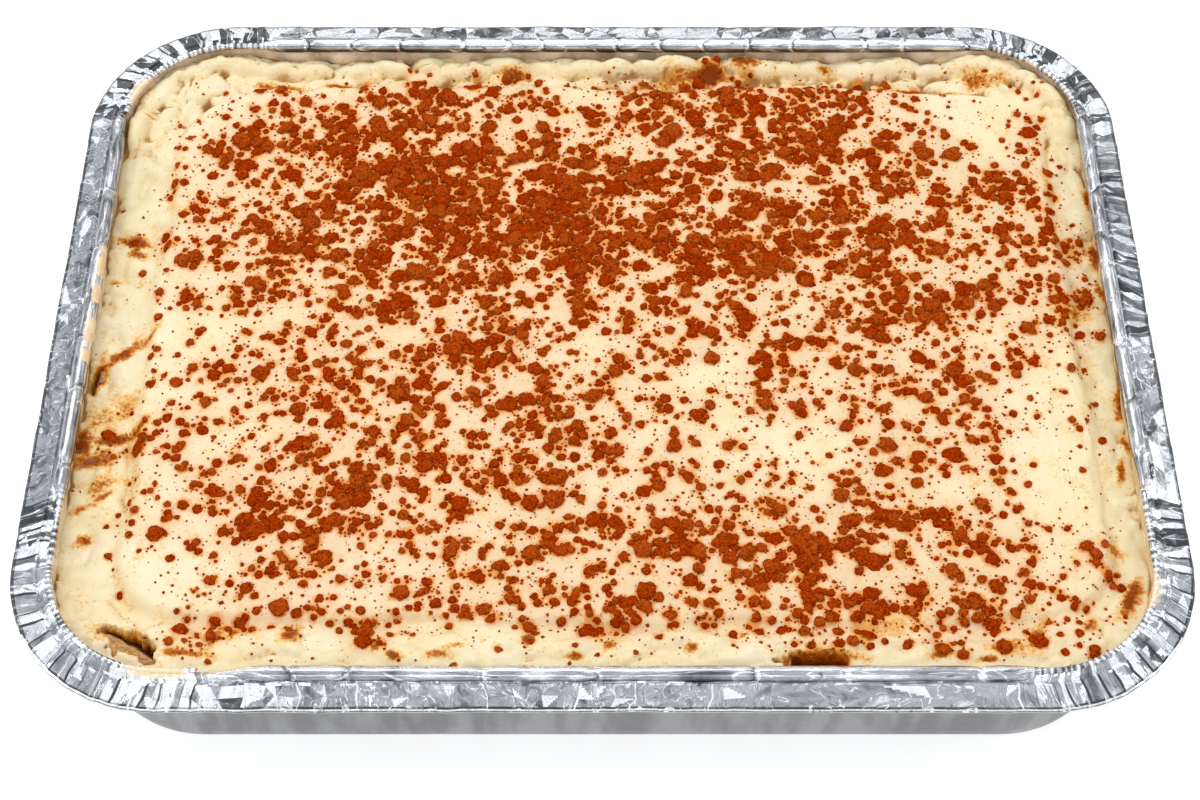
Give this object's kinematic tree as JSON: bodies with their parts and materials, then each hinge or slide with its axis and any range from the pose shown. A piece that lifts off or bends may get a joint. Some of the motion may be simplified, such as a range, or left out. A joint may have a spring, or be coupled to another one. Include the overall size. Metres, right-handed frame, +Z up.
{
  "type": "tray of tiramisu",
  "caption": "Shallow foil tray with a hemmed and pleated rim, filled with soaked sponge and set cream under a broken dusting of cocoa.",
  "frame": {"origin": "middle of the tray's flat underside", "axes": "+X along the tray's long side, +Y from the side shown nearest to the far side, +Z up out of the tray"},
  "size_m": [0.322, 0.249, 0.0489],
  "materials": {
    "foil": "bright rolled foil, crumpled at the rim",
    "soaked_sponge": "wet, fibrous coffee-soaked sponge",
    "cream": "soft, slightly glossy set cream with cocoa on top"
  },
  "bodies": {
    "root": {"foil_tray": "foil", "sponge_layer": "soaked_sponge", "cream_layer": "cream"}
  },
  "joints": []
}
